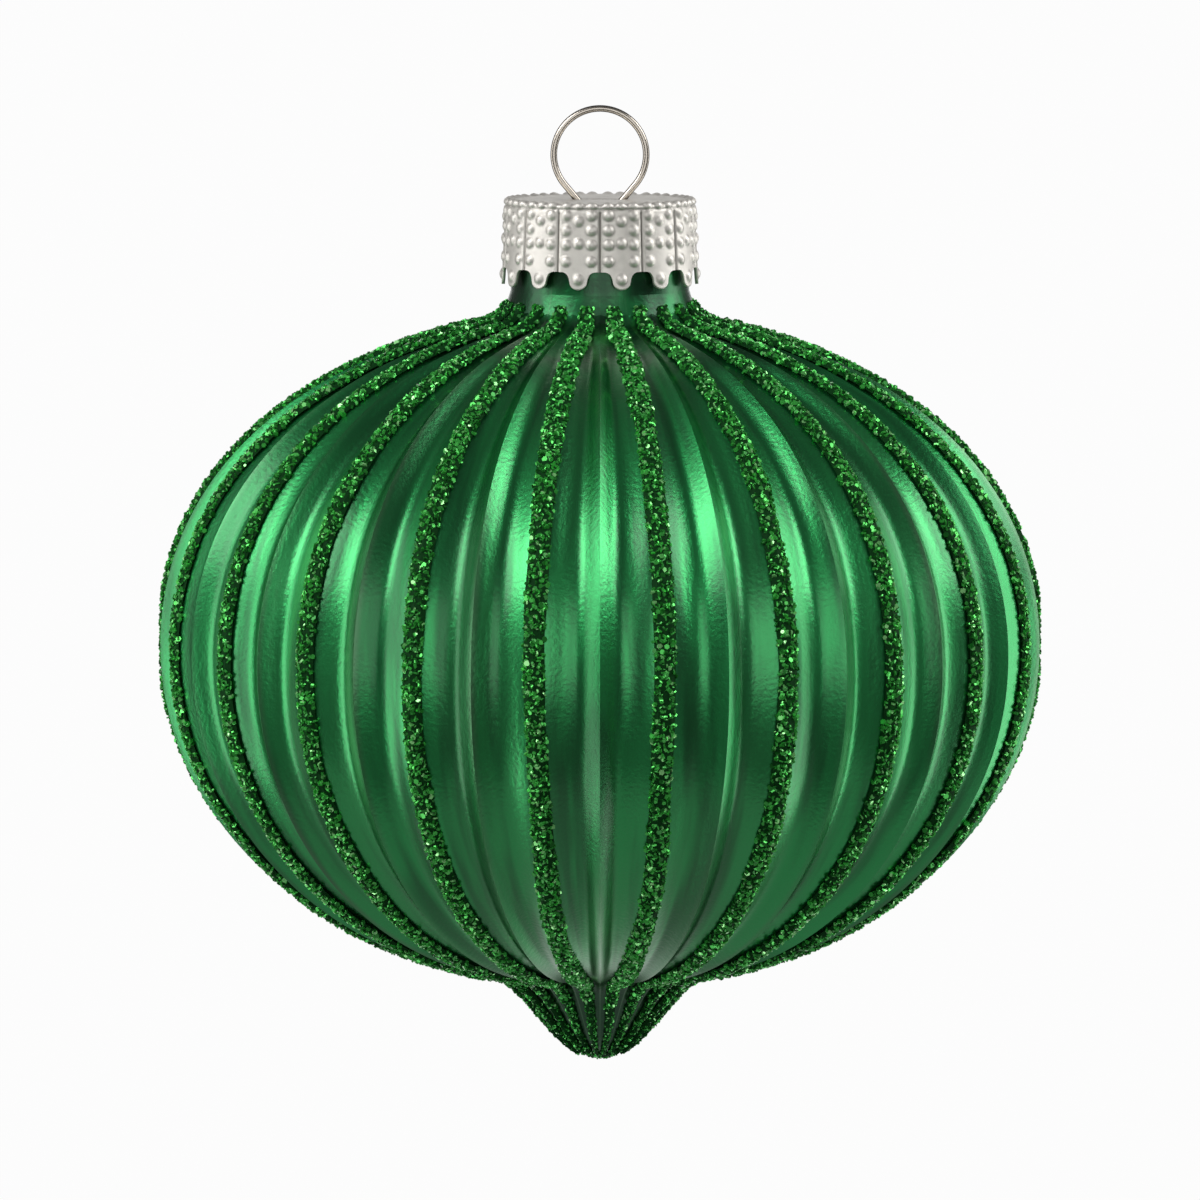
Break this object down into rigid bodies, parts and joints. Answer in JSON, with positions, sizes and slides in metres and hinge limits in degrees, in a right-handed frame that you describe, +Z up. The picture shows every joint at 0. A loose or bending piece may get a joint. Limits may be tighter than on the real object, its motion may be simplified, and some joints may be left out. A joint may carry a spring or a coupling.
{
  "type": "glass drop ornament",
  "caption": "Onion-shaped ridged glass ornament in satin green with a glitter bead between each pair of ridges, a stamped silver crown cap and a spring-wire loop to hang it by.",
  "frame": {"origin": "point under the top of the wire loop, where a hook bears", "axes": "+Z up along the ornament's axis, X in the plane of the wire loop, -Y towards the viewer"},
  "size_m": [0.0796, 0.0804, 0.0863],
  "materials": {
    "glass": "satin pearl lacquer, opaque green",
    "glitter": "coarse metallic green glitter in clear glue",
    "cap": "bright stamped sheet with small bumps",
    "wire": "bright drawn wire"
  },
  "bodies": {
    "hanger": {"hanger_wire": "wire"},
    "cap": {"cap_shell": "cap"},
    "glass": {"glass_body": "glass", "glitter_tip": "glitter", "glitter_line_01": "glitter", "glitter_line_02": "glitter", "glitter_line_03": "glitter", "glitter_line_04": "glitter", "glitter_line_05": "glitter", "glitter_line_06": "glitter", "glitter_line_07": "glitter", "glitter_line_08": "glitter", "glitter_line_09": "glitter", "glitter_line_10": "glitter", "glitter_line_11": "glitter", "glitter_line_12": "glitter", "glitter_line_13": "glitter", "glitter_line_14": "glitter", "glitter_line_15": "glitter", "glitter_line_16": "glitter", "glitter_line_17": "glitter", "glitter_line_18": "glitter", "glitter_line_19": "glitter", "glitter_line_20": "glitter", "glitter_line_21": "glitter", "glitter_line_22": "glitter"}
  },
  "joints": [
    {"name": "cap_swing", "type": "hinge", "parent": "hanger", "child": "cap", "pos_m": [0, 0, -0.008], "axis": [1, 0, 0], "range_deg": [-12, 12]},
    {"name": "glass_turn", "type": "hinge", "parent": "cap", "child": "glass", "pos_m": [0, 0, -0.0083], "axis": [0, 0, 1], "continuous": true}
  ]
}
